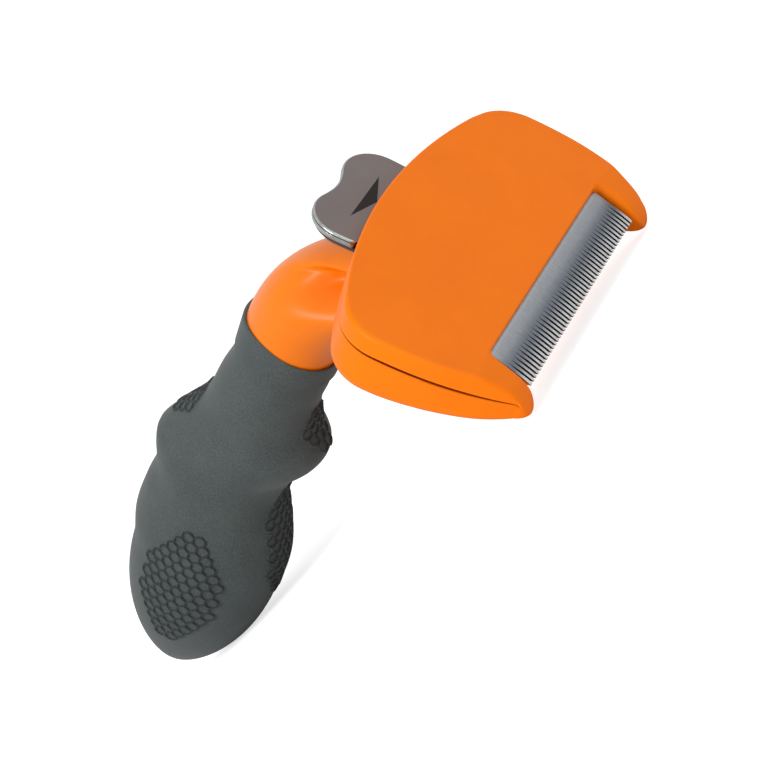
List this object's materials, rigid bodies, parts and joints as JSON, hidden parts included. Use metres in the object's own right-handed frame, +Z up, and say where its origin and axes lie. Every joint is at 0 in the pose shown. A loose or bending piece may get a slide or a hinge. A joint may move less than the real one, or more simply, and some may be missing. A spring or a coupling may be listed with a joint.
{
  "type": "deshedding tool",
  "caption": "Pet deshedding comb: orange two-shell head with a fine steel comb edge, heart-shaped push button that drives a hair ejector, elbow neck and lobed soft grip.",
  "frame": {"origin": "centre of the bounding box's bottom, where the guard tips and the bulb rest", "axes": "+Z up; +X along the comb edge; +Y from the head towards the end of the handle, with the tool lying on its guard tips and its palm bulb"},
  "size_m": [0.0946, 0.1738, 0.0627],
  "materials": {
    "orange_plastic": "satin moulded ABS",
    "soft_grip": "matte soft-touch elastomer",
    "black_nylon": "moulded nylon",
    "zinc_steel": "zinc plated",
    "blade_steel": "ground stainless steel",
    "grey_plastic": "warm grey metallic paint",
    "spring_steel": "bright drawn wire",
    "acetal": "natural acetal",
    "black_rubber": "matte"
  },
  "bodies": {
    "tool": {"front_shell": "orange_plastic", "rear_shell": "orange_plastic", "neck": "orange_plastic", "grip_sleeve": "soft_grip", "handle_core_left": "black_nylon", "handle_core_right": "black_nylon", "core_screws": "zinc_steel", "comb_blade": "blade_steel", "blade_clamp": "zinc_steel", "blade_screws": "zinc_steel", "return_spring_left": "spring_steel", "return_spring_right": "spring_steel", "spring_pin_left": "zinc_steel", "spring_pin_right": "zinc_steel", "guide_rail_left": "acetal", "guide_rail_right": "acetal", "stop_bumpers": "black_rubber", "case_screws": "zinc_steel", "neck_screws": "zinc_steel"},
    "ejector": {"ejector_plate": "grey_plastic", "ejector_screws": "zinc_steel", "ejector_carriage": "black_nylon", "button_cap": "grey_plastic", "button_base": "grey_plastic", "button_screws": "zinc_steel"}
  },
  "joints": [
    {"name": "ejector_slide", "type": "slide", "parent": "tool", "child": "ejector", "axis": [0, -0.349, -0.9371], "range_m": [0, 0.008], "stiffness_N_per_m": 350, "springref_m": -0.006, "deforming": ["return_spring_left", "return_spring_right"]}
  ]
}
